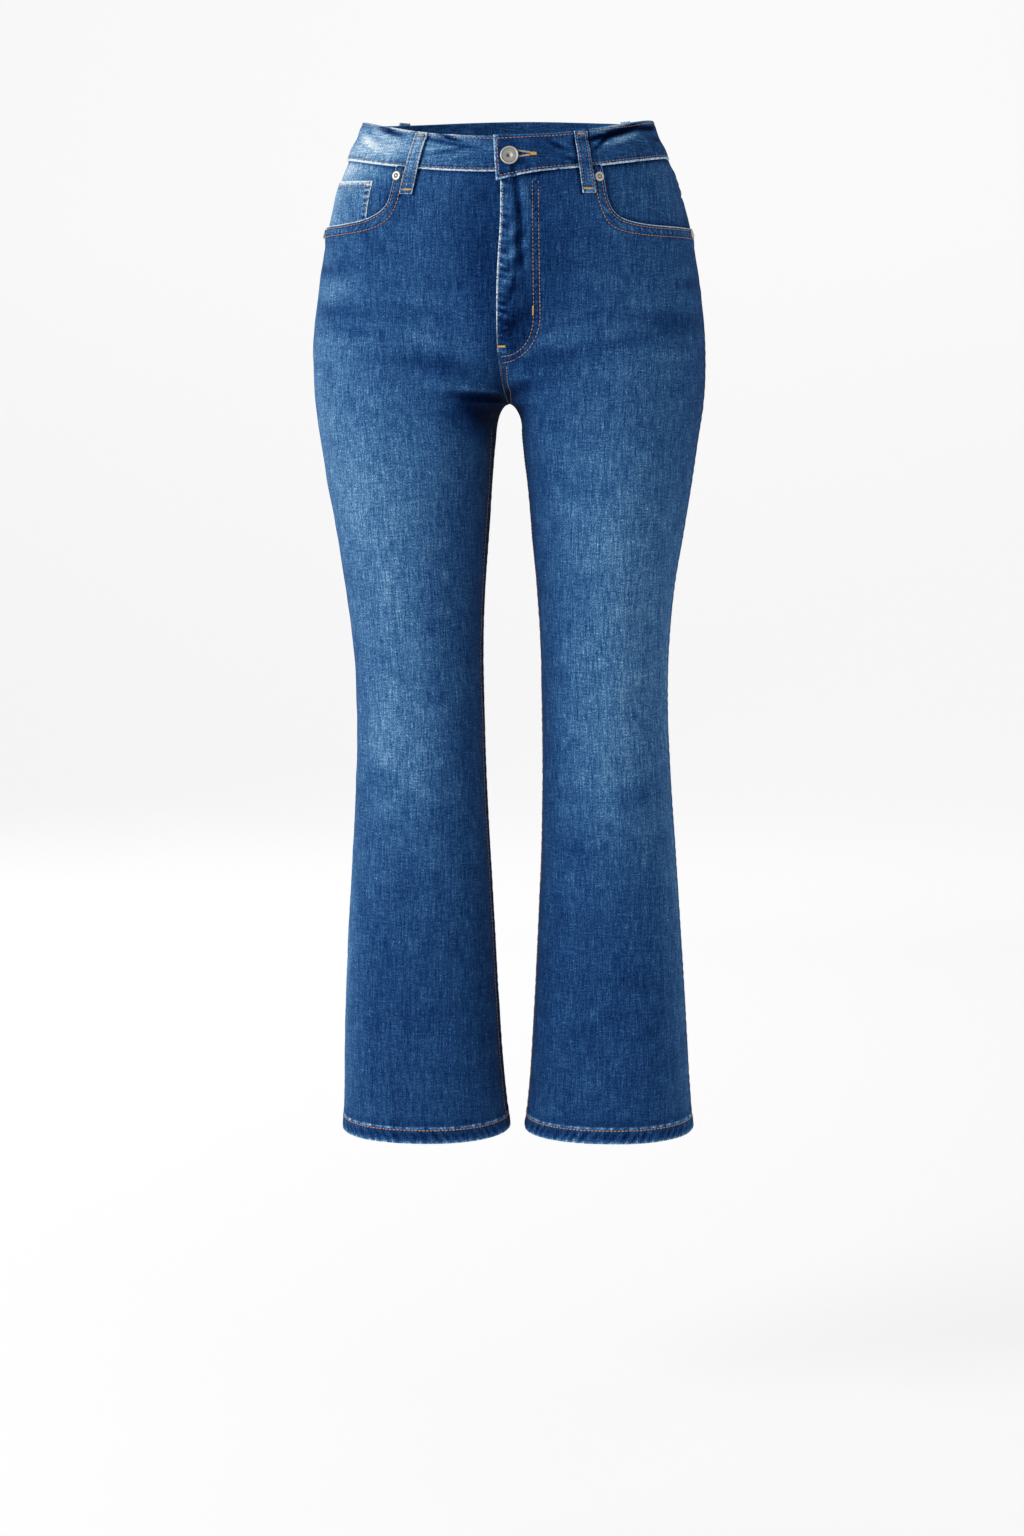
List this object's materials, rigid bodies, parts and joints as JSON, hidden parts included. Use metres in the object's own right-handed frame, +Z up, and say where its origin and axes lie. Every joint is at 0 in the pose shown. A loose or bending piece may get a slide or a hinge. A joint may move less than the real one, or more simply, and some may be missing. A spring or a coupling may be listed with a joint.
{
  "type": "cropped jeans",
  "caption": "High-waisted cropped denim jeans with a kick flare, hollow and open at waist and hems, standing in their worn shape.",
  "frame": {"origin": "centre of the waist opening, at half the waistband's height at the sides", "axes": "+Z up, the jeans' front faces -Y, +X is towards the wearer's left"},
  "size_m": [0.352, 0.2408, 0.9194],
  "materials": {
    "denim": "mid-blue stretch denim twill, slubby and stone-washed",
    "antique_nickel": "dull pressed nickel-plated metal"
  },
  "bodies": {
    "root": {"waistband": "denim", "front_panel_right": "denim", "front_panel_left": "denim", "back_panel_right": "denim", "back_panel_left": "denim", "back_yoke_right": "denim", "back_yoke_left": "denim", "pocket_underlay_right": "denim", "pocket_underlay_left": "denim", "coin_pocket": "denim", "fly_facing": "denim", "back_pocket_right": "denim", "back_pocket_left": "denim", "belt_loop_front_right": "denim", "belt_loop_front_left": "denim", "belt_loop_back_right": "denim", "belt_loop_back_left": "denim", "belt_loop_back_centre": "denim", "waist_button": "antique_nickel", "rivet_right_inner": "antique_nickel", "rivet_left_inner": "antique_nickel", "rivet_right_outer": "antique_nickel", "rivet_left_outer": "antique_nickel"}
  },
  "joints": []
}
